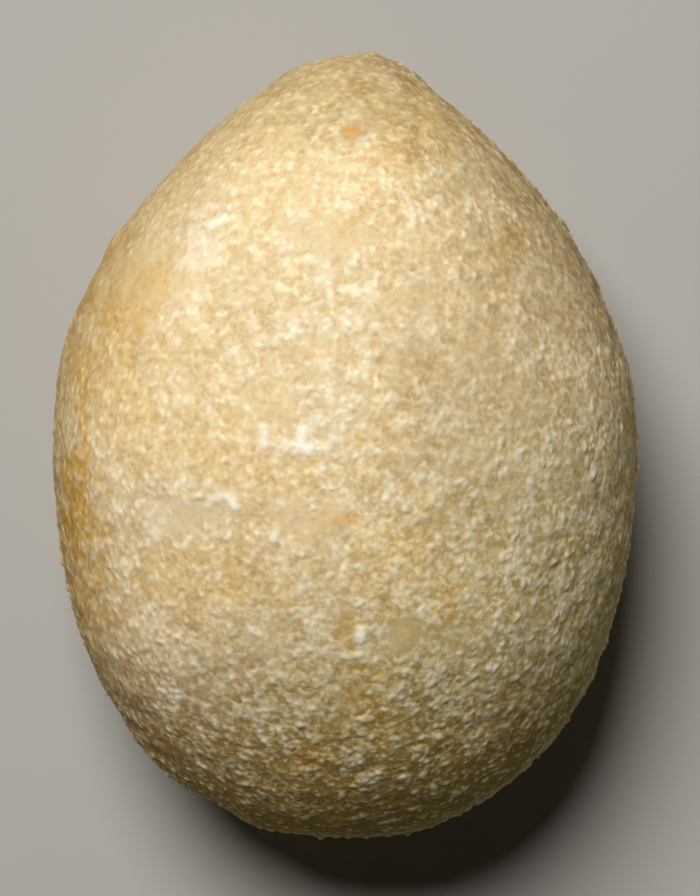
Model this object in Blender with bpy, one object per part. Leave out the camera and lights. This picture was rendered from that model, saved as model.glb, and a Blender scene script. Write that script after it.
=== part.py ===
"""Fossil sea urchin: an egg-shaped shell of pale stone with a knobbly skin, lying on its underside.

It grew and turned to stone as one piece, so it is one solid. A sphere of even triangles is stretched
into an egg, whose outline from above is an ellipse times a cubic. The underside is flattened into a
level resting face. Relief then moves each point along the surface's normal: broad swellings, named
bumps on the outline, close-set knobs, and underneath the mouth, the vent and five shallow furrows.

Metres, +Z up. The origin is the bottom centre of the bounding box and the narrow end points to +Y.
"""

import math
import random

import bmesh
import bpy
from mathutils import Vector, noise

MM = 0.001

# The egg. Heights are measured from its widest level.
LENGTH = 26.0 * MM
WIDTH_TO_LENGTH = 0.747
OUTLINE_TERMS = (-0.040, -0.114, -0.258)
DOME_HEIGHT = 8.8 * MM
DOME_TERMS = (0.0, -0.06, 0.08)
BASE_DEPTH = 6.2 * MM
TIP_LEAN = 0.35 * MM
TIP_LEAN_STARTS = 0.85

# The flat of the underside, as a share of the way down the sphere, and how it rounds up to the side.
FLAT_STARTS = 0.95
FLAT_ROUNDING = 1.6
RELIEF_FADE = 0.12

SPHERE_CUTS = 20

# Broad swellings all over.
SWELLING_HEIGHT = 0.14 * MM
SWELLING_SPACING = 4.5 * MM

# Close-set knobs all over but the flat, each one a single vertex that its sunken neighbours ring.
KNOB_HEIGHTS = (0.03 * MM, 0.11 * MM)
KNOB_GAP_DEPTH = 0.07 * MM
KNOB_SEED = 7

# Bumps as x, y, radius and height in millimetres: on the widest level, and one scar on the dome.
OUTLINE_BUMPS_MM = {
    "nub at the tip": (0.85, 12.8, 0.5, 0.14),
    "left corner of the tip": (-1.8, 12.35, 1.3, 0.14),
    "right corner of the tip": (2.1, 12.3, 1.3, 0.16),
    "flat above the left shoulder": (-5.9, 8.9, 2.4, -0.13),
    "left shoulder": (-7.8, 6.7, 0.9, 0.14),
    "upper step on the right": (5.5, 9.7, 0.6, 0.08),
    "lower step on the right": (7.3, 7.3, 0.6, 0.08),
    "lower right corner": (8.3, -8.0, 0.9, 0.10),
    "corner by the blunt end": (6.8, -10.0, 0.8, 0.08),
    "left corner of the blunt end": (-6.1, -10.6, 2.2, 0.15),
    "swelling of the blunt end": (-2.7, -12.5, 1.4, 0.14),
    "right of that swelling": (2.4, -12.6, 1.2, 0.08),
}
SCAR_MM = (-3.97, -1.66, 0.55, 0.10)

# Hollows of the underside.
MOUTH_CENTRE_Y = -2.0 * MM
MOUTH_RADII = (1.35 * MM, 1.15 * MM)
MOUTH_DEPTH = 0.85 * MM
VENT_CENTRE_Y = 9.3 * MM
VENT_RADII = (0.85 * MM, 1.15 * MM)
VENT_DEPTH = 0.55 * MM
FURROW_COUNT = 5
FURROW_LENGTH = 7.5 * MM
FURROW_HALF_WIDTH = 0.6 * MM
FURROW_DEPTH = 0.13 * MM

STONE_COLOUR = (0.60, 0.48, 0.27, 1.0)
STONE_ROUGHNESS = 0.9


def clear_scene():
    for thing in list(bpy.data.objects):
        bpy.data.objects.remove(thing, do_unlink=True)


def smooth_step(low, high, value):
    share = min(max((value - low) / (high - low), 0.0), 1.0)
    return share * share * (3.0 - 2.0 * share)


def dome_of(distance, radius):
    """A rounded bump's height at this distance from its middle, from 1 down to 0 at its radius."""
    return max(0.0, 1.0 - (distance / radius) ** 2) ** 1.5


def cubic(terms, along):
    first, second, third = terms
    return 1.0 + first * along + second * along**2 + third * along**3


def underside_height(down):
    """Depth below the widest level, as a share, at this share of the way down the sphere."""
    return 1.0 - max(0.0, 1.0 - down / FLAT_STARTS) ** FLAT_ROUNDING


def egg_place(point):
    """Where a point of the unit sphere lies on the egg, whose flat is at height 0."""
    along = point.y
    half_length = LENGTH / 2
    lean = TIP_LEAN * max(0.0, (along - TIP_LEAN_STARTS) / (1.0 - TIP_LEAN_STARTS)) ** 2
    x = WIDTH_TO_LENGTH * half_length * cubic(OUTLINE_TERMS, along) * point.x + lean
    if point.z >= 0.0:
        z = DOME_HEIGHT * cubic(DOME_TERMS, along) * point.z
    else:
        z = -BASE_DEPTH * underside_height(-point.z)
    return Vector((x, half_length * along, BASE_DEPTH + z))


def knob_heights(shell):
    """Heights by vertex number, of knobs set at random so that no two are neighbours."""
    draw = random.Random(KNOB_SEED)
    order = list(shell.verts)
    draw.shuffle(order)
    heights = {}
    for vertex in order:
        neighbours = (edge.other_vert(vertex).index for edge in vertex.link_edges)
        if not any(neighbour in heights for neighbour in neighbours):
            heights[vertex.index] = draw.uniform(*KNOB_HEIGHTS)
    return heights


def outline_bumps(place):
    height = 0.0
    for x, y, radius, rise in OUTLINE_BUMPS_MM.values():
        centre = Vector((x * MM, y * MM, BASE_DEPTH))
        height += rise * MM * dome_of((place - centre).length, radius * MM)
    return height


def scar(place):
    x, y, radius, rise = SCAR_MM
    distance = math.hypot(place.x - x * MM, place.y - y * MM)
    return rise * MM * dome_of(distance, radius * MM) if place.z > BASE_DEPTH else 0.0


def oval_hollow(place, centre_y, radii, depth):
    reach = math.hypot(place.x / radii[0], (place.y - centre_y) / radii[1])
    return -depth * max(0.0, 1.0 - reach**4)


def furrows(place):
    """Five shallow furrows that run out from the mouth, one of them towards the blunt end."""
    from_mouth = Vector((place.x, place.y - MOUTH_CENTRE_Y))
    deepest = 0.0
    for index in range(FURROW_COUNT):
        angle = -math.pi / 2 + index * math.tau / FURROW_COUNT
        course = Vector((math.cos(angle), math.sin(angle)))
        travel = from_mouth.dot(course)
        aside = abs(from_mouth.x * course.y - from_mouth.y * course.x)
        if 0.0 < travel < FURROW_LENGTH:
            fade = 1.0 - smooth_step(0.5 * FURROW_LENGTH, FURROW_LENGTH, travel)
            deepest = max(deepest, fade * dome_of(aside, FURROW_HALF_WIDTH))
    return -FURROW_DEPTH * deepest


def relief(point, place, knob):
    """How far out from the egg the shell's surface lies at this place."""
    off_flat = 1.0 - smooth_step(FLAT_STARTS - RELIEF_FADE, FLAT_STARTS, -point.z)
    swelling = SWELLING_HEIGHT * noise.noise(place / SWELLING_SPACING)
    height = off_flat * (swelling + knob) + outline_bumps(place) + scar(place)
    if point.z < 0.0:
        height += oval_hollow(place, MOUTH_CENTRE_Y, MOUTH_RADII, MOUTH_DEPTH)
        height += oval_hollow(place, VENT_CENTRE_Y, VENT_RADII, VENT_DEPTH)
        height += furrows(place)
    return height


def even_sphere():
    """A unit sphere of nearly equal triangles: an icosahedron with each face cut into a grid."""
    sphere = bmesh.new()
    bmesh.ops.create_icosphere(sphere, subdivisions=1, radius=1.0)
    bmesh.ops.subdivide_edges(sphere, edges=sphere.edges[:], cuts=SPHERE_CUTS, use_grid_fill=True)
    for vertex in sphere.verts:
        vertex.co.normalize()
    sphere.verts.index_update()
    return sphere


def shell_mesh():
    shell = even_sphere()
    sphere_points = [vertex.co.copy() for vertex in shell.verts]
    for vertex in shell.verts:
        vertex.co = egg_place(vertex.co)
    shell.normal_update()
    knobs = knob_heights(shell)
    moves = [
        vertex.normal * relief(point, vertex.co, knobs.get(vertex.index, -KNOB_GAP_DEPTH))
        for vertex, point in zip(shell.verts, sphere_points)
    ]
    for vertex, move in zip(shell.verts, moves):
        vertex.co += move
        vertex.co.z = max(vertex.co.z, 0.0)
    centre_on_base(shell)
    mesh = bpy.data.meshes.new("test")
    shell.to_mesh(mesh)
    shell.free()
    return mesh


def centre_on_base(shell):
    """Moves the shell so that the origin is the bottom centre of its bounding box."""
    across = [vertex.co.x for vertex in shell.verts]
    along = [vertex.co.y for vertex in shell.verts]
    lowest = min(vertex.co.z for vertex in shell.verts)
    middle = ((min(across) + max(across)) / 2, (min(along) + max(along)) / 2, lowest)
    bmesh.ops.translate(shell, verts=shell.verts[:], vec=-Vector(middle))


def stone_material():
    material = bpy.data.materials.new("pale stone")
    material.use_nodes = True
    shader = material.node_tree.nodes["Principled BSDF"]
    shader.inputs["Base Color"].default_value = STONE_COLOUR
    shader.inputs["Roughness"].default_value = STONE_ROUGHNESS
    shader.inputs["Metallic"].default_value = 0.0
    material.diffuse_color = STONE_COLOUR
    return material


def build_test():
    mesh = shell_mesh()
    mesh.shade_smooth()
    mesh.materials.append(stone_material())
    test = bpy.data.objects.new("test", mesh)
    bpy.context.scene.collection.objects.link(test)


clear_scene()
build_test()
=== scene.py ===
"""Looks of the fossil sea urchin: a fine granular skin over the egg-shaped shell, its colours and light.

The skin is built by the same egg formula as the shell and fitted to its box. It is one surface, finer on
top than underneath, in four pieces that meet edge to edge, because a single mesh would hold too many
triangles. Places that the photograph shows are named in pixels of its 700 by 896 frame, as it sees them
from straight above. In the functions, points lie on the unit sphere that the egg is stretched from, and
places lie on the egg, in metres.

A range is written from where a thing starts to where it is full, so it can run downwards.
"""

import math

import bmesh
import bpy
import numpy as np
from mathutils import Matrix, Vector, kdtree, noise


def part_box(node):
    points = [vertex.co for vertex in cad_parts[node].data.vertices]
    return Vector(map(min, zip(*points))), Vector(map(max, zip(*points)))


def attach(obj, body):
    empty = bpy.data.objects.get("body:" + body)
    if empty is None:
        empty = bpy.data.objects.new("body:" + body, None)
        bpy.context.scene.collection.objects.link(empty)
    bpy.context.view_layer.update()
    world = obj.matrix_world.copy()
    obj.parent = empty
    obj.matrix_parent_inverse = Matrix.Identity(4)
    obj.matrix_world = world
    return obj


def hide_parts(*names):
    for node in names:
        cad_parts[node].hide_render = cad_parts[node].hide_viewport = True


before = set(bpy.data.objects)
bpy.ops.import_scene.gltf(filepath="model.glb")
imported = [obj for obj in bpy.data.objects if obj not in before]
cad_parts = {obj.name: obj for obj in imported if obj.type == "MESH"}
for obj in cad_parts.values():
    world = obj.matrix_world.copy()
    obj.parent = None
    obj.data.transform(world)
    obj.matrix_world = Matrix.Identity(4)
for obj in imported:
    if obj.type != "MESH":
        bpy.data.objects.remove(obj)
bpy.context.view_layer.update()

MM = 0.001
SHELL_NODE = "test"

SHELL_LOW, SHELL_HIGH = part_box(SHELL_NODE)
SHELL_SIZE = SHELL_HIGH - SHELL_LOW
SHELL_CENTRE = (SHELL_LOW + SHELL_HIGH) / 2

# The egg, as in the shell: heights are measured from its widest level.
HALF_LENGTH = 0.4975 * SHELL_SIZE.y
HALF_WIDTH = 0.747 * HALF_LENGTH
OUTLINE_TERMS = (-0.040, -0.114, -0.258)
BASE_DEPTH = 0.411 * SHELL_SIZE.z
DOME_HEIGHT = 0.584 * SHELL_SIZE.z
DOME_TERMS = (0.0, -0.06, 0.08)
DOME_STARTS = (0.8 * BASE_DEPTH, BASE_DEPTH)
TIP_LEAN = 0.0135 * SHELL_SIZE.y
TIP_LEAN_STARTS = 0.85
FLAT_STARTS = 0.95
FLAT_ROUNDING = 1.6
RELIEF_FADE = 0.12

# The skin's pieces, the cuts in each edge of its icosahedron, the height on the unit sphere from which
# faces belong to the top or base piece, and how much finer it is on top than underneath. For its normals,
# the height from which a point is near a pole, and the length of a small step.
SKIN_PIECES = ("skin_top", "skin_side_1", "skin_side_2", "skin_base")
SKIN_CUTS = 195
CAP_STARTS = 0.5
TOP_FINENESS = 1.5
POLE_STARTS = 0.9
TANGENT_STEP = 1e-3

# The noise: what mixes a grid corner and a seed into a random number, and how each seed moves the grid.
CORNER_FACTORS = (73856093, 19349663, 83492791)
SEED_FACTOR = 2654435
MIXES = ((13, 1274126177), (15, 2246822519))
LOW_32_BITS = 0xFFFFFFFF
LOW_16_BITS = 0xFFFF
SEED_SHIFT = 7.31

# Broad forms, as in the shell.
SWELLING_HEIGHT = 0.14 * MM
SWELLING_SPACING = 4.5 * MM
OUTLINE_BUMPS_MM = {
    "nub at the tip": (0.85, 12.8, 0.5, 0.14),
    "left corner of the tip": (-1.8, 12.35, 1.3, 0.14),
    "right corner of the tip": (2.1, 12.3, 1.3, 0.16),
    "flat above the left shoulder": (-5.9, 8.9, 2.4, -0.13),
    "left shoulder": (-7.8, 6.7, 0.9, 0.14),
    "upper step on the right": (5.5, 9.7, 0.6, 0.08),
    "lower step on the right": (7.3, 7.3, 0.6, 0.08),
    "lower right corner": (8.3, -8.0, 0.9, 0.10),
    "corner by the blunt end": (6.8, -10.0, 0.8, 0.08),
    "left corner of the blunt end": (-6.1, -10.6, 2.2, 0.15),
    "swelling of the blunt end": (-2.7, -12.5, 1.4, 0.14),
    "right of that swelling": (2.4, -12.6, 1.2, 0.08),
}
MOUTH = ((0.0, -2.0 * MM), (1.35 * MM, 1.15 * MM), 0.85 * MM)
VENT = ((0.0, 9.3 * MM), (0.85 * MM, 1.15 * MM), 0.55 * MM)
FURROW_COUNT = 5
FURROW_LENGTH = 7.5 * MM
FURROW_HALF_WIDTH = 0.6 * MM
FURROW_DEPTH = 0.13 * MM

# Fine relief on top of the dome, and the share of its height that is added towards the sides. A wander
# bends the places that noise is read at: its reach, its spacing and its seeds.
LUMP_HEIGHT = 0.022 * MM
LUMP_SPACING = 0.8 * MM
LUMP_SEED = 2
FROST_HEIGHT = 0.016 * MM
FROST_OCTAVES = ((0.70 * MM, 0.5), (0.38 * MM, 0.95), (0.21 * MM, 0.5))
FROST_RANGE = (-0.35, 0.80)
FROST_SEED = 31
FROST_WANDER = (0.05 * MM, 0.5 * MM, (24, 25, 26))
CURL_HEIGHT = 0.006 * MM
CURL_SPACING = 0.36 * MM
CURL_STEEPNESS = 3.2
CURL_SEED = 3
CURL_WANDER = (0.12 * MM, 0.7 * MM, (21, 22, 23))
GRIT_HEIGHT = 0.003 * MM
GRIT_SPACING = 0.16 * MM
GRIT_SEED = 4
LUMPS_AT_SIDES = 0.8
FROST_AT_SIDES = 0.2
FINEST_AT_SIDES = 0.1

# Grains that stand out of the skin. The gaps between them are wider off the curls' crests, and wider
# again where the skin is worn or sparse. None stands where the flat leaves less than a least share of
# relief, and the nearest few shape each place.
GRAIN_SEED = 11
GRAIN_TRIES = 240000
GRAIN_GAP = (0.17 * MM, 0.29 * MM)
GAP_WHERE_WORN_MM = 0.22
GAP_WHERE_SPARSE_MM = 0.06
GAP_AT_SIDES = 0.10
COVER_SPACING = 1.2 * MM
COVER_SEED = 9
SPARSE_RANGE = (-0.2, 0.8)
GRAIN_LEAST_RELIEF = 0.05
NEAR_GRAINS = 5

# A grain's size and form. A spread is the power of a random share: above 1 it makes high values rare.
GRAIN_HALF_WIDTH = (0.06 * MM, 0.13 * MM)
GRAIN_WIDTH_AT_SIDES = -0.10
GRAIN_WIDTH_SPREAD = 1.5
GRAIN_STRETCH = (1.0, 2.2)
GRAIN_STRETCH_SPREAD = 1.6
GRAIN_HEIGHT = (0.012 * MM, 0.045 * MM)
GRAIN_HEIGHT_SPREAD = 0.5
GRAIN_SHADE_SPREAD = 1.5
GRAIN_TURN = 0.6
GRAIN_BEND = 0.45
GRAIN_BEND_STARTS = 0.8
GRAIN_SQUARENESS = 1.3
GRAIN_MERGING = 3.0
SLOPE_STEP = 0.05 * MM
LEAST_SLOPE = 1e-6 * np.array([1.0, 0.7, 0.4])

# How tall the grains stand off the crust and on it, how much lower they are towards the sides, and how
# much taller in the fringe that the outline shows. The heights are those of the unit sphere.
GRAINS_STAND = (0.35, 1.0)
GRAINS_SINK = (0.65, 0.3)
GRAINS_SINK_BY = 0.5
FRINGE_STARTS = (0.25, 0.08)
FRINGE_ENDS = (-0.3, -0.05)
FRINGE_RAISES = 2.2

# The photograph's frame, where the shell lies in it, and how far off its camera stands.
PHOTO_WIDTH = 700
PHOTO_HEIGHT = 896
PHOTO_CENTRE = (345.5, 445.0)
PHOTO_LENGTH = 786.0
METRES_PER_PIXEL = SHELL_SIZE.y / PHOTO_LENGTH
CAMERA_LENS = 150.0
CAMERA_SENSOR = 36.0
CAMERA_CLIP_START = 0.01
PHOTO_DISTANCE = PHOTO_HEIGHT * METRES_PER_PIXEL * CAMERA_LENS / CAMERA_SENSOR

# The smoother corner at the top left of the photograph, by pixels across plus a share of those down.
CORNER_RANGE = (620.0, 150.0)
CORNER_SLANT = 0.9

# The sides of the dome, as heights on the unit sphere, and how much less they count in that corner.
SIDES = (0.85, 0.15)
SIDES_LESS_IN_CORNER = 0.5

# Wear in that corner and at random, and how much it takes off the crust, the grains and the colours.
WORN_IN_CORNER = 0.65
WORN_AT_RANDOM = 0.35
WORN_RANGE = (0.15, 0.75)
WORN_SPACING = 1.5 * MM
WORN_SEED = 5
CRUST_WORN_OFF = 0.85
GRAINS_WORN_OFF = 0.75
CRUST_COLOUR_WORN_OFF = 0.9

# The edges of patches: where they fade, in shares of their size, the spacings of the noise that makes
# them ragged, and for each kind how ragged it is and its first seed.
PATCH_FADE = (0.6, 1.5)
PATCH_SPACINGS = (1.1 * MM, 0.45 * MM, 0.2 * MM)
WORN_EDGE = (0.6, 1)
CHALK_EDGE = (0.5, 6)
OCHRE_EDGE = (0.7, 8)
ORANGE_EDGE = (0.8, 10)
BLEACHED_EDGE = (0.6, 13)
PAINTED_SHADE_EDGE = (0.4, 15)

# Patches of the dome as x, y, half width and half height in pixels, and their strength where it isn't 1.
WORN_PATCHES = {
    "above the middle": (405, 302, 28, 15),
    "low right of the middle": (402, 637, 17, 15),
    "middle": (320, 525, 24, 14),
    "left of the middle": (195, 520, 26, 15),
    "upper middle": (330, 230, 28, 18),
    "left shoulder": (150, 285, 30, 34),
}
CHALK_PATCHES = {
    "upper left": (204, 248, 13, 19, 0.55),
    "foot of the upper left one": (194, 264, 13, 6, 0.55),
    "middle": (265, 442, 6, 8, 0.5),
}
BLEACHED_PATCHES = {
    "upper left": (200, 230, 26, 40),
    "left of the middle": (178, 510, 46, 26),
    "middle": (300, 430, 46, 30),
    "upper middle": (300, 320, 90, 80),
    "lower left": (205, 690, 60, 30),
}
OCHRE_PATCHES = {
    "left edge": (78, 498, 15, 42, 0.95),
    "left edge, lower": (90, 580, 20, 60, 0.45),
    "end of the left shoulder": (84, 390, 9, 38, 0.55),
    "left shoulder": (120, 325, 24, 30, 0.52),
    "left shoulder, upper": (150, 288, 16, 20, 0.35),
    "left margin": (108, 345, 36, 84, 0.36),
    "right of the tip": (420, 122, 38, 34, 0.28),
    "upper right": (515, 243, 14, 16, 0.34),
    "band across the middle": (240, 450, 110, 40, 0.10),
    "by the fleck in the middle": (268, 468, 46, 22, 0.22),
    "band below the middle": (210, 580, 90, 26, 0.28),
    "spot in that band": (232, 592, 20, 8, 0.45),
    "band right of the middle": (425, 570, 60, 44, 0.26),
    "spot right of the middle": (412, 556, 14, 10, 0.50),
    "streak right of the middle": (444, 602, 10, 18, 0.45),
    "lower middle": (368, 695, 22, 40, 0.50),
    "middle, above that": (348, 625, 10, 26, 0.50),
    "blunt end": (320, 768, 24, 12, 0.40),
}
# Patches of painted shade, darkening the stone where the light falls off: at the tip, on the right and
# below the middle. The last one darkens the rim of the blunt end.
PAINTED_SHADE_PATCHES = {
    "tip": (370, 85, 115, 50, 1.0),
    "right of the tip": (485, 150, 60, 60, 0.85),
    "upper right": (560, 250, 80, 110, 1.0),
    "right of the middle": (490, 430, 100, 150, 0.75),
    "low middle": (350, 660, 150, 90, 0.6),
    "low right": (480, 620, 90, 110, 0.45),
    "blunt end": (330, 825, 160, 26, 1.0),
}
ORANGE_SPOTS = {
    "near the tip": (351, 130, 6, 4, 0.9),
    "right of the middle": (388, 427, 4, 4),
    "low, under the middle": (325, 770, 5, 4),
    "below the middle": (349, 520, 11, 5, 0.6),
}

# Raised white strokes, from x, y to x, y, with half width in pixels, height in millimetres and whiteness.
# Their outlines wander, with a reach in pixels.
STROKES = {
    "fleck in the middle, upright": (303, 431, 301, 445, 6.2, 0.05, 1.0),
    "fleck in the middle, foot": (301, 447, 309, 450, 6.0, 0.05, 1.0),
    "fleck in the middle, tail": (312, 450, 329, 447, 4.4, 0.02, 0.45),
    "crumb left of the fleck": (264, 430, 265, 445, 5.6, 0.03, 0.7),
    "dash at the upper left": (211, 226, 225, 218, 4.8, 0.04, 0.8),
    "lump low of the middle": (361, 634, 361, 638, 6.5, 0.07, 0.8),
    "arch on the left, rising": (209, 507, 213, 499, 4.6, 0.03, 0.4),
    "arch on the left, top": (213, 499, 229, 496, 4.6, 0.03, 0.5),
    "arch on the left, falling": (229, 496, 236, 508, 5.2, 0.04, 0.7),
}
STROKE_WANDER = (1.5, 0.2 * MM, (41, 42))
STROKE_SQUARENESS = 2.5

# Pits, as x, y, half width and half height in pixels and depth in millimetres.
PITS = {
    "under the dash": (223, 231, 7, 5, 0.08),
    "left of the chalk": (168, 258, 4, 4, 0.05),
}
PIT_REACH = 1.4

# How pale the stone is, from 0 in its hollows to 1: bare ground, and what each thing adds to it.
PALE_GROUND = 0.28
PALE_COVER = 0.05
PALE_WORN = 0.08
# Painted shade and dirt: the gaps between the grains are darker at the sides.
SHADE_AND_DIRT_IN_SIDE_GAPS = -0.12
PALE_FROST = 0.14
PALE_GRAINS = 0.27
PALE_SHADE = 0.16
PALE_CURLS = 0.06
PALE_GRIT = 0.04
PALE_GRAINS_AT_BLUNT_END = 0.25
# Painted shade and dirt: the gaps are darker at the blunt end.
SHADE_AND_DIRT_IN_BLUNT_END_GAPS = -0.31
FROSTED_AT_SIDES = 0.3

# Parts of the egg by how far they lie some way across and along the unit sphere, seen from above.
BLUNT_END_WAY = (0.0, -1.0)
BLUNT_END = (0.40, 0.95)
BLUNT_END_ABOVE = (0.0, 0.3)
LOWER_RIGHT_WAY = (0.55, -0.85)
OLIVE_RANGE = (0.05, 0.85)
CRUSTY_RANGE = (-0.1, 0.6)
RIGHT_WAY = (1.0, -0.3)
RIGHT_RANGE = (0.3, 0.95)

# Parts of the egg by their height on the unit sphere.
UNDERSIDE = (0.2, -0.3)
RIM = (0.6, 0.15)
# Where the painted shade at the rim starts and is full, and where it fades underneath.
PAINTED_SHADE_AT_SIDES = (0.85, 0.1)
PAINTED_SHADE_FADES_UNDER = (0.1, -0.4)

# How much of each stain there is, and how the stone's paleness and those parts change it.
MOTTLE_RANGE = (0.0, 0.9)
MOTTLE_SPACING = 0.9 * MM
MOTTLE_SEED = 12
OCHRE_MOTTLE = 0.10
OCHRE_UNDER = 0.15
OCHRE_IN_HOLLOWS = 1.15
OCHRE_LESS_WHERE_PALE = 0.7
OLIVE_LESS_UNDER = 0.6
# How much less painted shade the rim has on the right and underneath.
PAINTED_SHADE_LESS_ON_RIGHT = 0.8
PAINTED_SHADE_LESS_UNDER = 0.5
CHALK_SHARE = 0.8
CHALK_IN_HOLLOWS = 0.4
CRUSTY = (0.3, 1.0)
CRUSTY_LESS_AT_RIM = 0.6
ORANGE_IN_HOLLOWS = 1.3

# The material's own pattern: noise as a spacing and an amount of paleness, broken curls and flecks. The
# spacing of the breaks is a share of the curls' own.
PALENESS_NOISE = ((0.20 * MM, 0.24), (1.6 * MM, 0.10))
CURL_COLOUR_SPACING = 0.48 * MM
CURL_COLOUR_SHARPNESS = 7.0
CURL_PALENESS = 0.34
CURL_BREAK_SPACING = 0.8
CURL_BREAK_LEVEL = 0.44
CURL_BREAK_SHARPNESS = 9.0
FLECK_SPACING = 0.18 * MM
FLECK_SHARPNESS = 7.0
FLECK_PALENESS = 0.33
NOISE_MIDDLE = 0.5

# The stone's colours by its paleness, from its hollows to its crust, and two stains that cover them, all
# as 8-bit sRGB values.
STONE_COLOURS = {
    "recess": (0.10, (188, 152, 98)),
    "ground": (0.36, (227, 203, 157)),
    "cream": (0.60, (243, 227, 190)),
    "crust": (0.92, (249, 241, 215)),
}
CHALK = (255, 250, 230)
ORANGE = (217, 152, 62)
ORANGE_COVERS = 0.6

# Tints that the stone's colour is multiplied by, as linear values. Olive tints what isn't pale.
BLEACHED_TINT = (0.97, 1.01, 1.09, 1.0)
OCHRE_TINT = (0.95, 0.72, 0.28, 1.0)
OLIVE_TINT = (0.88, 0.93, 0.68, 1.0)
# Painted shade: the tint that darkens the rim and the patches of painted shade.
PAINTED_SHADE_TINT = (0.76, 0.75, 0.70, 1.0)
OLIVE_ENDS = 0.75
OLIVE_STEEPNESS = 2.0

STONE_ROUGHNESS = 0.95
STONE_SPECULAR = 0.12
BUMP_STRENGTH = 0.6
BUMP_HEIGHT = 0.010 * MM
BUMP_SPACING = 0.10 * MM
BUMP_OF_CURLS = 0.7

FLOOR_COLOUR = (0.43, 0.42, 0.40, 1.0)
FLOOR_ROUGHNESS = 0.9
FLOOR_SIZE = 4.0

KEY_DIRECTION = Vector((-0.24, 0.57, 1.0)).normalized()
KEY_DISTANCE = 0.30
KEY_SIZE = 0.15
KEY_POWER = 1.015
KEY_COLOUR = (1.0, 0.97, 0.92)
FILL_STRENGTH = 0.015
FILL_COLOUR = (1.0, 0.95, 0.85, 1.0)


def smooth_step(start, full, value):
    """0 at the start of a range and before it, 1 where it is full and beyond, and smooth between."""
    share = np.clip((value - start) / (full - start), 0.0, 1.0)
    return share * share * (3.0 - 2.0 * share)


def between(limits, share):
    return limits[0] + (limits[1] - limits[0]) * share


def dome_of(distance, radius):
    """A rounded bump's height at this distance from its middle, from 1 down to 0 at its radius."""
    return np.clip(1.0 - (distance / radius) ** 2, 0.0, None) ** 1.5


def cubic(terms, along):
    first, second, third = terms
    return 1.0 + first * along + second * along**2 + third * along**3


def unit(vectors):
    return vectors / np.linalg.norm(vectors, axis=1, keepdims=True)


def shuffled(corner, seed):
    """A random number from 0 to 1 for each corner of a cubic grid, the same one each time."""
    key = corner @ np.array(CORNER_FACTORS) + SEED_FACTOR * seed
    for shift, factor in MIXES:
        key = ((key ^ (key >> shift)) * factor) & LOW_32_BITS
    return ((key >> 8) & LOW_16_BITS) / LOW_16_BITS


def soft_noise(places, spacing, seed):
    """Smooth noise, mostly from -1 to 1: a random slope at each corner of a cubic grid, blended between."""
    grid = places / spacing + SEED_SHIFT * seed
    corner = np.floor(grid).astype(np.int64)
    away = grid - corner
    share = away**3 * (away * (away * 6.0 - 15.0) + 10.0)
    total = np.zeros(len(places))
    for step in np.ndindex(2, 2, 2):
        weight = np.prod(np.where(step, share, 1.0 - share), axis=1)
        for axis in range(3):
            slope = 2.0 * shuffled(corner + step, 3 * seed + axis) - 1.0
            total += weight * slope * (away[:, axis] - step[axis])
    return 2.0 * total


def wander(places, reach, spacing, seeds):
    """A smooth random shift for each place, with one number for each seed."""
    return reach * np.column_stack([soft_noise(places, spacing, seed) for seed in seeds])


def egg_places(points):
    """Where points of the unit sphere lie on the egg, whose flat is at height 0."""
    along = points[:, 1]
    lean = TIP_LEAN * np.clip((along - TIP_LEAN_STARTS) / (1.0 - TIP_LEAN_STARTS), 0.0, None) ** 2
    x = HALF_WIDTH * cubic(OUTLINE_TERMS, along) * points[:, 0] + lean
    dome = DOME_HEIGHT * cubic(DOME_TERMS, along) * points[:, 2]
    down = np.clip(1.0 + points[:, 2] / FLAT_STARTS, 0.0, 1.0)
    under = BASE_DEPTH * (down**FLAT_ROUNDING - 1.0)
    z = BASE_DEPTH + np.where(points[:, 2] >= 0.0, dome, under)
    return np.column_stack([x, HALF_LENGTH * along, z])


def egg_normals(points):
    """Outward normals of the egg, from small steps along two tangents of the sphere."""
    aid = np.where(np.abs(points[:, 2:3]) < POLE_STARTS, [[0.0, 0.0, 1.0]], [[1.0, 0.0, 0.0]])
    first = unit(np.cross(aid, points))
    second = np.cross(points, first)
    slopes = [
        egg_places(unit(points + TANGENT_STEP * way)) - egg_places(unit(points - TANGENT_STEP * way))
        for way in (first, second)
    ]
    return unit(np.cross(slopes[0], slopes[1]))


def finer_on_top(points):
    """Draws the sphere's points towards its top without bending the shapes between them."""
    above = (1.0 + points[:, 2]) * TOP_FINENESS
    below = (1.0 - points[:, 2]) / TOP_FINENESS
    level = (above - below) / (above + below)
    reach = np.sqrt(np.clip(1.0 - level**2, 0.0, None))
    across = np.linalg.norm(points[:, :2], axis=1)
    factor = reach / np.maximum(across, 1e-9)
    return np.column_stack([points[:, :2] * factor[:, None], level])


def plan_of(places):
    """Pixels of the photograph at which these places are seen, from straight above its middle."""
    larger = PHOTO_DISTANCE / (PHOTO_DISTANCE + BASE_DEPTH - places[:, 2])
    across = PHOTO_CENTRE[0] - PHOTO_WIDTH / 2 + (places[:, 0] - SHELL_CENTRE.x) / METRES_PER_PIXEL
    down = PHOTO_CENTRE[1] - PHOTO_HEIGHT / 2 - (places[:, 1] - SHELL_CENTRE.y) / METRES_PER_PIXEL
    return PHOTO_WIDTH / 2 + across * larger, PHOTO_HEIGHT / 2 + down * larger


def towards(way, points):
    """How far points of the unit sphere lie in this direction, seen from above."""
    return way[0] * points[:, 0] + way[1] * points[:, 1]


def on_dome(places):
    """1 on the dome, and 0 a little below the egg's widest level."""
    return smooth_step(*DOME_STARTS, places[:, 2])


def off_flat(points):
    """1 all over but for the flat, where it is 0."""
    return 1.0 - smooth_step(FLAT_STARTS - RELIEF_FADE, FLAT_STARTS, -points[:, 2])


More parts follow.
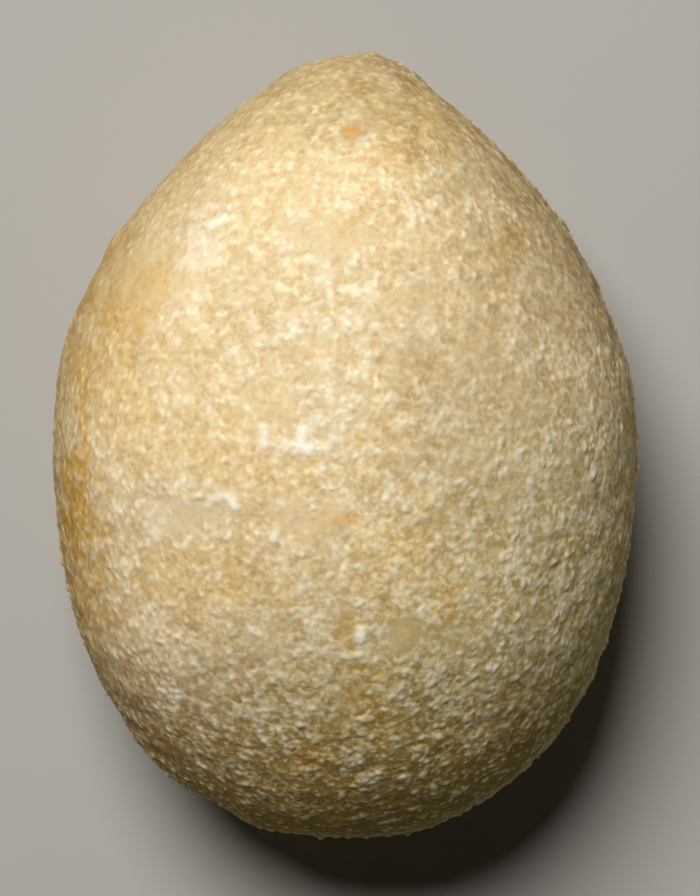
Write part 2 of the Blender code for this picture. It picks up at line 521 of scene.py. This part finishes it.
def smoother_corner(places):
    """How far a place lies towards the top left of the photograph, where the skin is smoother."""
    across, down = plan_of(places)
    return smooth_step(*CORNER_RANGE, across + CORNER_SLANT * down)


def side_share(points, places):
    """0 on top of the dome to 1 at its sides, and less at the top left, where it is smoother."""
    return smooth_step(*SIDES, points[:, 2]) * (1.0 - SIDES_LESS_IN_CORNER * smoother_corner(places))


def patches(places, named, ragged, seed):
    """The strength of soft, ragged-edged ovals on the dome, and 0 outside them."""
    across, down = plan_of(places)
    edge = ragged * sum(
        soft_noise(places, spacing, seed + number) for number, spacing in enumerate(PATCH_SPACINGS)
    )
    strongest = np.zeros(len(places))
    for x, y, half_width, half_height, *strength in named.values():
        reach = np.hypot((across - x) / half_width, (down - y) / half_height)
        inside = (1.0 - smooth_step(*PATCH_FADE, reach + edge)) * (strength or [1.0])[0]
        strongest = np.maximum(strongest, inside)
    return strongest * on_dome(places)


def worn_share(places):
    """How far the skin is worn down, from 0 to 1: most in the named patches and at the top left."""
    spots = smooth_step(*WORN_RANGE, soft_noise(places, WORN_SPACING, WORN_SEED))
    worn = patches(places, WORN_PATCHES, *WORN_EDGE) + WORN_IN_CORNER * smoother_corner(places)
    return np.clip(worn + WORN_AT_RANDOM * spots, 0.0, 1.0)


def hollow(places, centre, radii, depth):
    reach = np.hypot((places[:, 0] - centre[0]) / radii[0], (places[:, 1] - centre[1]) / radii[1])
    return -depth * np.clip(1.0 - reach**4, 0.0, None)


def furrows(places):
    """Shallow furrows that run out from the mouth on the underside."""
    from_mouth = places[:, :2] - np.array(MOUTH[0])
    deepest = np.zeros(len(places))
    for index in range(FURROW_COUNT):
        angle = -math.pi / 2 + index * math.tau / FURROW_COUNT
        course = np.array([math.cos(angle), math.sin(angle)])
        travel = from_mouth @ course
        aside = np.abs(from_mouth[:, 0] * course[1] - from_mouth[:, 1] * course[0])
        fade = 1.0 - smooth_step(0.5 * FURROW_LENGTH, FURROW_LENGTH, travel)
        deepest = np.maximum(deepest, np.where(travel > 0.0, fade * dome_of(aside, FURROW_HALF_WIDTH), 0))
    return -FURROW_DEPTH * deepest


def broad_relief(points, places):
    """Swellings, named bumps and the underside's hollows."""
    swelling = np.array([noise.noise(Vector(place) / SWELLING_SPACING) for place in places])
    height = SWELLING_HEIGHT * swelling * off_flat(points)
    for x, y, radius, rise in OUTLINE_BUMPS_MM.values():
        centre = np.array([x * MM, y * MM, BASE_DEPTH])
        distance = np.linalg.norm(places - centre, axis=1)
        height += rise * MM * dome_of(distance, radius * MM)
    under = hollow(places, *MOUTH) + hollow(places, *VENT) + furrows(places)
    return height + np.where(points[:, 2] < 0.0, under, 0.0)


def stroke_relief(places):
    """Height of the raised strokes on the dome, and how white they are, from 0 to 1."""
    spot = np.column_stack(plan_of(places)) + wander(places, *STROKE_WANDER)
    height = np.zeros(len(places))
    whiteness = np.zeros(len(places))
    for x, y, end_x, end_y, half_width, rise, white in STROKES.values():
        run = np.array([end_x - x, end_y - y])
        share = np.clip((spot - (x, y)) @ run / (run @ run), 0.0, 1.0)
        reach = np.linalg.norm(spot - (x, y) - share[:, None] * run, axis=1) / half_width
        profile = np.exp(-(reach**STROKE_SQUARENESS))
        height = np.maximum(height, rise * MM * profile)
        whiteness = np.maximum(whiteness, profile * white)
    return height * on_dome(places), whiteness * on_dome(places)


def pit_relief(places):
    across, down = plan_of(places)
    depth = np.zeros(len(places))
    for x, y, half_width, half_height, deepest in PITS.values():
        reach = np.hypot((across - x) / half_width, (down - y) / half_height)
        depth = np.maximum(depth, deepest * MM * dome_of(reach, PIT_REACH))
    return -depth * on_dome(places)


def lump_relief(points, places):
    """Low lumps, which are higher towards the sides."""
    lumps = LUMP_HEIGHT * soft_noise(places, LUMP_SPACING, LUMP_SEED) * off_flat(points)
    return lumps * (1.0 + LUMPS_AT_SIDES * side_share(points, places))


def curls(places):
    """Worm-like ridges, 1 on their crests and -1 far from them."""
    bent = places + wander(places, *CURL_WANDER)
    ridge = 1.0 - CURL_STEEPNESS * np.abs(soft_noise(bent, CURL_SPACING, CURL_SEED))
    return np.clip(ridge, -1.0, 1.0)


def frost(places):
    """How thick the pale crust is: 0 in the gaps, up to 1 on its blobs and crumbs."""
    bent = places + wander(places, *FROST_WANDER)
    total = np.zeros(len(places))
    for number, (spacing, share) in enumerate(FROST_OCTAVES):
        total += share * soft_noise(bent, spacing, FROST_SEED + number)
    return smooth_step(*FROST_RANGE, total)


def cover(places):
    """Above 0 where the grains stand close, and below 0 where they are sparse and the ground darker."""
    return soft_noise(places, COVER_SPACING, COVER_SEED)


def crust_relief(points, places, grains):
    """Height of crust, curls, grit and grains, and how pale the stone is, from 0 in the hollows to 1, with
    painted shade and dirt in its gaps.
    """
    worn = worn_share(places)
    side = side_share(points, places)
    keep = (1.0 - CRUST_WORN_OFF * worn) * off_flat(points)
    ridge = np.clip(curls(places), 0.0, None)
    grit = soft_noise(places, GRIT_SPACING, GRIT_SEED)
    blobs = frost(places)
    grain, dots, shade = grain_relief(places, grains)
    height = keep * (FROST_HEIGHT * blobs * (1.0 + FROST_AT_SIDES * side) + CURL_HEIGHT * ridge)
    height += (keep * GRIT_HEIGHT * grit + grain) * (1.0 + FINEST_AT_SIDES * side)
    frosted = np.clip(blobs + FROSTED_AT_SIDES * side, 0.0, 1.0) * dots
    blunt = smooth_step(*BLUNT_END, towards(BLUNT_END_WAY, points))
    blunt *= smooth_step(*BLUNT_END_ABOVE, points[:, 2])
    pale = PALE_GROUND + PALE_COVER * cover(places) + PALE_WORN * worn
    # Painted shade and dirt in the gaps at the sides.
    pale += SHADE_AND_DIRT_IN_SIDE_GAPS * side * (1.0 - dots)
    # Painted shade and dirt in the gaps at the blunt end, whose grains are paler.
    pale += blunt * (PALE_GRAINS_AT_BLUNT_END * frosted + SHADE_AND_DIRT_IN_BLUNT_END_GAPS * (1.0 - frosted))
    pale += keep * (PALE_FROST * blobs + PALE_GRAINS * frosted + PALE_SHADE * shade)
    pale += keep * (PALE_CURLS * ridge + PALE_GRIT * grit)
    return height, np.clip(pale, 0.0, 1.0)


def level_and_turn(face):
    """Sorts an icosahedron's faces into top, middle and base, and then by their turn about the axis."""
    centre = face.calc_center_median()
    level = int(centre.z < -CAP_STARTS) - int(centre.z > CAP_STARTS)
    return level, math.atan2(centre.y, centre.x)


def even_sphere():
    """Points and triangles of an icosahedron with each face cut into a grid, and each triangle's piece."""
    sphere = bmesh.new()
    bmesh.ops.create_icosphere(sphere, subdivisions=1, radius=1.0)
    faces_each = len(sphere.faces) // len(SKIN_PIECES)
    for order, face in enumerate(sorted(sphere.faces, key=level_and_turn)):
        face.material_index = order // faces_each
    bmesh.ops.subdivide_edges(sphere, edges=sphere.edges[:], cuts=SKIN_CUTS, use_grid_fill=True)
    mesh = bpy.data.meshes.new("sphere")
    sphere.to_mesh(mesh)
    sphere.free()
    points = np.empty(len(mesh.vertices) * 3, np.float32)
    mesh.vertices.foreach_get("co", points)
    corners = np.empty(len(mesh.loops), np.int32)
    mesh.loops.foreach_get("vertex_index", corners)
    piece_numbers = np.empty(len(mesh.polygons), np.int32)
    mesh.polygons.foreach_get("material_index", piece_numbers)
    bpy.data.meshes.remove(mesh)
    return unit(points.reshape(-1, 3).astype(np.float64)), corners.reshape(-1, 3), piece_numbers


def vertex_normals(surface, triangles):
    corner = surface[triangles]
    facing = np.cross(corner[:, 1] - corner[:, 0], corner[:, 2] - corner[:, 0])
    sums = [np.bincount(triangles.ravel(), np.repeat(facing[:, axis], 3)) for axis in range(3)]
    return unit(np.column_stack(sums))


def mesh_of(name, points, triangles, normals):
    mesh = bpy.data.meshes.new(name)
    mesh.vertices.add(len(points))
    mesh.vertices.foreach_set("co", points.astype(np.float32).ravel())
    mesh.loops.add(triangles.size)
    mesh.loops.foreach_set("vertex_index", triangles.astype(np.int32).ravel())
    mesh.polygons.add(len(triangles))
    mesh.polygons.foreach_set("loop_start", np.arange(0, triangles.size, 3, dtype=np.int32))
    mesh.update(calc_edges=True)
    mesh.shade_smooth()
    mesh.normals_split_custom_set_from_vertices(normals)
    return mesh


def set_values(mesh, name, values):
    attribute = mesh.attributes.new(name, "FLOAT", "POINT")
    attribute.data.foreach_set("value", values.astype(np.float32))


def fitted(surface):
    """The surface moved and very slightly stretched to fill the shell's box."""
    low, high = surface.min(axis=0), surface.max(axis=0)
    share = (surface - low) / (high - low)
    return np.array(SHELL_LOW) + share * np.array(SHELL_SIZE)


def painted_rim_shade(points):
    """Painted shade: the stone darker and greyer all round its sides, but less on the right and less
    underneath.
    """
    right = smooth_step(*RIGHT_RANGE, towards(RIGHT_WAY, points))
    grey = smooth_step(*PAINTED_SHADE_AT_SIDES, points[:, 2]) * (1.0 - PAINTED_SHADE_LESS_ON_RIGHT * right)
    return grey * (1.0 - PAINTED_SHADE_LESS_UNDER * smooth_step(*PAINTED_SHADE_FADES_UNDER, points[:, 2]))


def crusty(points, places):
    """How far the material's curls and flecks show: most at the lower right, least where it is worn."""
    lower_right = smooth_step(*CRUSTY_RANGE, towards(LOWER_RIGHT_WAY, points))
    share = (1.0 - CRUST_COLOUR_WORN_OFF * worn_share(places)) * between(CRUSTY, lower_right)
    return share * (1.0 - CRUSTY_LESS_AT_RIM * smooth_step(*RIM, points[:, 2]))


def stains(points, places, pale, strokes):
    """How pale, ochre, olive, bleached, chalky, crusty and orange the stone is, and its painted shade, for
    the material.
    """
    under = smooth_step(*UNDERSIDE, points[:, 2])
    mottle = smooth_step(*MOTTLE_RANGE, soft_noise(places, MOTTLE_SPACING, MOTTLE_SEED))
    ochre = patches(places, OCHRE_PATCHES, *OCHRE_EDGE) + OCHRE_MOTTLE * mottle + OCHRE_UNDER * under
    olive = smooth_step(*OLIVE_RANGE, towards(LOWER_RIGHT_WAY, points))
    chalk = patches(places, CHALK_PATCHES, *CHALK_EDGE) * np.clip(CHALK_IN_HOLLOWS + pale, 0.0, 1.0)
    orange = patches(places, ORANGE_SPOTS, *ORANGE_EDGE)
    return {
        "pale": pale,
        "ochre": np.clip(ochre * (OCHRE_IN_HOLLOWS - OCHRE_LESS_WHERE_PALE * pale), 0.0, 1.0),
        "olive": olive * (1.0 - OLIVE_LESS_UNDER * under),
        # side: painted shade, darker all round the rim and in the patches of painted shade
        "side": np.maximum(painted_rim_shade(points), patches(places, PAINTED_SHADE_PATCHES, *PAINTED_SHADE_EDGE)),
        "bleached": patches(places, BLEACHED_PATCHES, *BLEACHED_EDGE),
        "chalk": np.maximum(CHALK_SHARE * chalk, strokes),
        "crusty": crusty(points, places),
        "orange": orange * np.clip(ORANGE_IN_HOLLOWS - pale, 0.0, 1.0),
    }


def build_skin(grains):
    """The skin's pieces, which share their points and normals along their edges."""
    sphere, triangles, piece_numbers = even_sphere()
    points = finer_on_top(sphere)
    places = egg_places(points)
    crust, pale = crust_relief(points, places, grains)
    strokes, whiteness = stroke_relief(places)
    height = broad_relief(points, places) + lump_relief(points, places) + crust + strokes
    height += pit_relief(places)
    surface = places + egg_normals(points) * height[:, None]
    surface[:, 2] = np.maximum(surface[:, 2], 0.0)
    surface = fitted(surface)
    normals = vertex_normals(surface, triangles)
    values = stains(points, places, pale, whiteness)
    pieces = []
    for number, name in enumerate(SKIN_PIECES):
        used, corners = np.unique(triangles[piece_numbers == number], return_inverse=True)
        mesh = mesh_of(name, surface[used], corners.reshape(-1, 3), normals[used])
        for value_name, value in values.items():
            set_values(mesh, value_name, value[used])
        piece = bpy.data.objects.new(name, mesh)
        bpy.context.scene.collection.objects.link(piece)
        pieces.append(piece)
    return pieces


def tree_of(places):
    """A tree that finds the places nearest to any other."""
    tree = kdtree.KDTree(len(places))
    for index, place in enumerate(places):
        tree.insert(place, index)
    tree.balance()
    return tree


def spread_points(draw):
    """Points of the unit sphere whose places on the egg keep a varied gap from each other."""
    points = unit(draw.normal(size=(GRAIN_TRIES, 3)))
    places = egg_places(points)
    crest = 0.5 + 0.5 * curls(places)
    sparse = smooth_step(*SPARSE_RANGE, -cover(places))
    wider = GAP_WHERE_WORN_MM * worn_share(places) + GAP_WHERE_SPARSE_MM * sparse
    gaps = between(GRAIN_GAP, 1.0 - crest) + MM * wider
    gaps *= 1.0 + GAP_AT_SIDES * side_share(points, places)
    tree = tree_of(places)
    taken = np.zeros(len(points), bool)
    kept = []
    for index in range(len(points)):
        if not taken[index]:
            kept.append(index)
            taken[[near for _, near, _ in tree.find_range(places[index], gaps[index])]] = True
    return points[kept]


def ridge_courses(places, normals):
    """Directions along the worm-like ridges, tangent to the egg."""
    slope = np.column_stack(
        [curls(places + SLOPE_STEP * axis) - curls(places - SLOPE_STEP * axis) for axis in np.eye(3)]
    )
    return unit(np.cross(normals, slope + LEAST_SLOPE))


def standing_share(points, places):
    """How tall the grains stand: less off the crust, where worn and at the sides, more in the fringe."""
    level = points[:, 2]
    standing = (1.0 - GRAINS_WORN_OFF * worn_share(places)) * off_flat(points)
    standing *= between(GRAINS_STAND, frost(places))
    fringe = smooth_step(*FRINGE_STARTS, level) * smooth_step(*FRINGE_ENDS, level)
    fringe *= 1.0 - smoother_corner(places)
    return standing * (1.0 - GRAINS_SINK_BY * smooth_step(*GRAINS_SINK, level) + FRINGE_RAISES * fringe)


def grain_seeds():
    """Where the grains stand and how large, high, long, bent and pale each is."""
    draw = np.random.default_rng(GRAIN_SEED)
    points = spread_points(draw)
    points = points[off_flat(points) > GRAIN_LEAST_RELIEF]
    count = len(points)
    places = egg_places(points)
    standing = standing_share(points, places)
    normals = egg_normals(points)
    course = ridge_courses(places, normals)
    aside = np.cross(normals, course)
    turn = draw.normal(scale=GRAIN_TURN, size=count)
    cosine, sine = np.cos(turn)[:, None], np.sin(turn)[:, None]
    size = draw.random(count)
    wider = 1.0 + GRAIN_WIDTH_AT_SIDES * side_share(points, places)
    return {
        "places": places,
        "course": course * cosine + aside * sine,
        "aside": aside * cosine - course * sine,
        "tree": tree_of(places),
        "rise": between(GRAIN_HEIGHT, size * draw.random(count) ** GRAIN_HEIGHT_SPREAD) * standing,
        "half_width": between(GRAIN_HALF_WIDTH, size**GRAIN_WIDTH_SPREAD) * wider,
        "stretch": between(GRAIN_STRETCH, draw.random(count) ** GRAIN_STRETCH_SPREAD),
        "bend": GRAIN_BEND * draw.normal(size=count),
        "shade": draw.random(count) ** GRAIN_SHADE_SPREAD * standing,
    }


def grain_relief(places, grains):
    """Height of the grains, each a long, bent dome, where they are, from 0 to 1, and how pale."""
    found = [grains["tree"].find_n(place, NEAR_GRAINS) for place in places]
    near = np.array([[index for _, index, _ in row] for row in found])
    away = places[:, None, :] - grains["places"][near]
    run = np.einsum("ijk,ijk->ij", away, grains["course"][near])
    swing = np.einsum("ijk,ijk->ij", away, grains["aside"][near])
    half_width = grains["half_width"][near]
    stretch = grains["stretch"][near]
    run = run / (half_width * stretch)
    swing = swing / half_width - grains["bend"][near] * (stretch - GRAIN_BEND_STARTS) * run**2
    profile = np.exp(-((run**2 + swing**2) ** GRAIN_SQUARENESS))
    height = ((grains["rise"][near] * profile) ** GRAIN_MERGING).sum(axis=1) ** (1.0 / GRAIN_MERGING)
    shade = (grains["shade"][near] * profile).max(axis=1)
    return height, profile.max(axis=1), shade


def srgb(colour):
    """A colour given in 8-bit sRGB values, as a linear one."""
    linear = [((c / 255 + 0.055) / 1.055) ** 2.4 if c > 10 else c / 255 / 12.92 for c in colour]
    return (*linear, 1.0)


class Nodes:
    """A short way to add and join a material's nodes."""

    def __init__(self, name):
        self.material = bpy.data.materials.new(name)
        self.material.use_nodes = True
        self.tree = self.material.node_tree
        self.shader = self.tree.nodes["Principled BSDF"]

    def add(self, kind, **values):
        node = self.tree.nodes.new(kind)
        for name, value in values.items():
            setattr(node, name, value)
        return node

    def give(self, socket, given):
        """Sets the socket to a value, or joins it to another node's output."""
        if isinstance(given, (int, float, tuple)):
            socket.default_value = given
        else:
            self.tree.links.new(given, socket)

    def value(self, name):
        return self.add("ShaderNodeAttribute", attribute_name=name).outputs["Fac"]

    def math(self, operation, first, second):
        node = self.add("ShaderNodeMath", operation=operation)
        self.give(node.inputs[0], first)
        self.give(node.inputs[1], second)
        return node.outputs[0]

    def mix(self, share, first, second, blend="MIX"):
        """Mixes two colours, which go into the node's sockets 6 and 7."""
        node = self.add("ShaderNodeMix", data_type="RGBA", blend_type=blend)
        for number, given in ((0, share), (6, first), (7, second)):
            self.give(node.inputs[number], given)
        return node.outputs[2]

    def tint(self, share, colour, tint):
        return self.mix(share, colour, tint, "MULTIPLY")

    def clamp(self, value):
        node = self.add("ShaderNodeClamp")
        self.give(node.inputs[0], value)
        return node.outputs[0]

    def ramp(self, source, stops):
        node = self.add("ShaderNodeValToRGB")
        elements = node.color_ramp.elements
        while len(elements) < len(stops):
            elements.new(0.5)
        for element, (position, colour) in zip(elements, stops):
            element.position = position
            element.color = srgb(colour)
        self.give(node.inputs[0], source)
        return node.outputs[0]

    def noise(self, size, detail):
        """Noise whose spots are about this many metres apart, from 0 to 1."""
        place = self.add("ShaderNodeTexCoord").outputs["Object"]
        node = self.add("ShaderNodeTexNoise")
        node.inputs["Scale"].default_value = 1.0 / size
        node.inputs["Detail"].default_value = detail
        self.give(node.inputs["Vector"], place)
        return node.outputs["Fac"]

    def swing(self, size, detail):
        """The same noise about 0."""
        return self.math("SUBTRACT", self.noise(size, detail), NOISE_MIDDLE)

    def varied(self, level, size, amount):
        """The level, raised and lowered by noise."""
        return self.math("ADD", level, self.math("MULTIPLY", self.swing(size, detail=3.0), amount))

    def curls(self, size):
        """Thin, broken, curling lines about this many metres apart, 1 on them and 0 beside them."""
        away = self.math("ABSOLUTE", self.swing(size, detail=0.0), 0.0)
        line = self.math("SUBTRACT", 1.0, self.math("MULTIPLY", away, CURL_COLOUR_SHARPNESS))
        breaks = self.noise(CURL_BREAK_SPACING * size, detail=1.0)
        unbroken = self.math("SUBTRACT", breaks, CURL_BREAK_LEVEL)
        unbroken = self.math("MULTIPLY", unbroken, CURL_BREAK_SHARPNESS)
        return self.math("MULTIPLY", self.clamp(line), self.clamp(unbroken))

    def flecks(self, size):
        """Small spots about this many metres apart, 1 on them and 0 beside them."""
        return self.clamp(self.math("MULTIPLY", self.swing(size, detail=2.0), FLECK_SHARPNESS))


def stone_material():
    """Dry stone whose hollows are ochre and whose grains are pale, with named stains and painted shade at
    its rim.
    """
    nodes = Nodes("fossil stone")
    level = nodes.value("pale")
    for spacing, amount in PALENESS_NOISE:
        level = nodes.varied(level, spacing, amount)
    curls = nodes.math("MULTIPLY", nodes.curls(CURL_COLOUR_SPACING), nodes.value("crusty"))
    level = nodes.math("ADD", level, nodes.math("MULTIPLY", curls, CURL_PALENESS))
    flecks = nodes.math("MULTIPLY", nodes.flecks(FLECK_SPACING), nodes.value("crusty"))
    level = nodes.math("ADD", level, nodes.math("MULTIPLY", flecks, FLECK_PALENESS))
    colour = nodes.ramp(level, STONE_COLOURS.values())
    colour = nodes.tint(nodes.value("bleached"), colour, BLEACHED_TINT)
    colour = nodes.tint(nodes.value("ochre"), colour, OCHRE_TINT)
    not_pale = nodes.math("MULTIPLY", nodes.math("SUBTRACT", OLIVE_ENDS, level), OLIVE_STEEPNESS)
    olive = nodes.math("MULTIPLY", nodes.value("olive"), nodes.clamp(not_pale))
    colour = nodes.tint(olive, colour, OLIVE_TINT)
    # Painted shade: darker towards the rim and in the patches of painted shade.
    colour = nodes.tint(nodes.value("side"), colour, PAINTED_SHADE_TINT)
    colour = nodes.mix(nodes.value("chalk"), colour, srgb(CHALK))
    orange = nodes.math("MULTIPLY", nodes.value("orange"), ORANGE_COVERS)
    nodes.give(nodes.shader.inputs["Base Color"], nodes.mix(orange, colour, srgb(ORANGE)))
    nodes.shader.inputs["Roughness"].default_value = STONE_ROUGHNESS
    nodes.shader.inputs["Specular IOR Level"].default_value = STONE_SPECULAR
    nodes.give(nodes.shader.inputs["Normal"], stone_bump(nodes, curls))
    return nodes.material


def stone_bump(nodes, curls):
    """The finest grit and the curls, as a bump."""
    bump = nodes.add("ShaderNodeBump")
    bump.inputs["Strength"].default_value = BUMP_STRENGTH
    bump.inputs["Distance"].default_value = BUMP_HEIGHT
    grit = nodes.noise(BUMP_SPACING, detail=3.0)
    height = nodes.math("ADD", grit, nodes.math("MULTIPLY", curls, BUMP_OF_CURLS))
    nodes.give(bump.inputs["Height"], height)
    return bump.outputs["Normal"]


def place_pieces():
    stone = stone_material()
    for piece in build_skin(grain_seeds()):
        piece.data.materials.append(stone)
        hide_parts(SHELL_NODE)
        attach(piece, "root")


def build_floor():
    bpy.ops.mesh.primitive_plane_add(size=FLOOR_SIZE, location=(0.0, 0.0, SHELL_LOW.z))
    floor = bpy.context.object
    floor.name = "floor"
    material = bpy.data.materials.new("floor")
    material.use_nodes = True
    shader = material.node_tree.nodes["Principled BSDF"]
    shader.inputs["Base Color"].default_value = FLOOR_COLOUR
    shader.inputs["Roughness"].default_value = FLOOR_ROUGHNESS
    floor.data.materials.append(material)


def build_lights():
    """A round studio light above the photograph's top left, and a faint even fill."""
    light = bpy.data.lights.new("key", "AREA")
    light.shape = "DISK"
    light.size = KEY_SIZE
    light.energy = KEY_POWER
    light.color = KEY_COLOUR
    key = bpy.data.objects.new("key", light)
    key.location = KEY_DIRECTION * KEY_DISTANCE
    key.rotation_euler = KEY_DIRECTION.to_track_quat("Z", "Y").to_euler()
    bpy.context.scene.collection.objects.link(key)
    world = bpy.data.worlds.new("studio")
    world.use_nodes = True
    background = world.node_tree.nodes["Background"]
    background.inputs["Color"].default_value = FILL_COLOUR
    background.inputs["Strength"].default_value = FILL_STRENGTH
    bpy.context.scene.world = world


def build_camera():
    """Looks straight down, with the shell where the photograph has it in its frame."""
    data = bpy.data.cameras.new("camera")
    data.lens = CAMERA_LENS
    data.sensor_width = CAMERA_SENSOR
    data.clip_start = CAMERA_CLIP_START
    camera = bpy.data.objects.new("camera", data)
    widest = SHELL_LOW.z + BASE_DEPTH
    aside = (PHOTO_WIDTH / 2 - PHOTO_CENTRE[0]) * METRES_PER_PIXEL
    ahead = (PHOTO_CENTRE[1] - PHOTO_HEIGHT / 2) * METRES_PER_PIXEL
    camera.location = (SHELL_CENTRE.x + aside, SHELL_CENTRE.y + ahead, widest + PHOTO_DISTANCE)
    bpy.context.scene.collection.objects.link(camera)
    bpy.context.scene.camera = camera


place_pieces()
build_floor()
build_lights()
build_camera()
bpy.context.scene.view_settings.view_transform = "Standard"
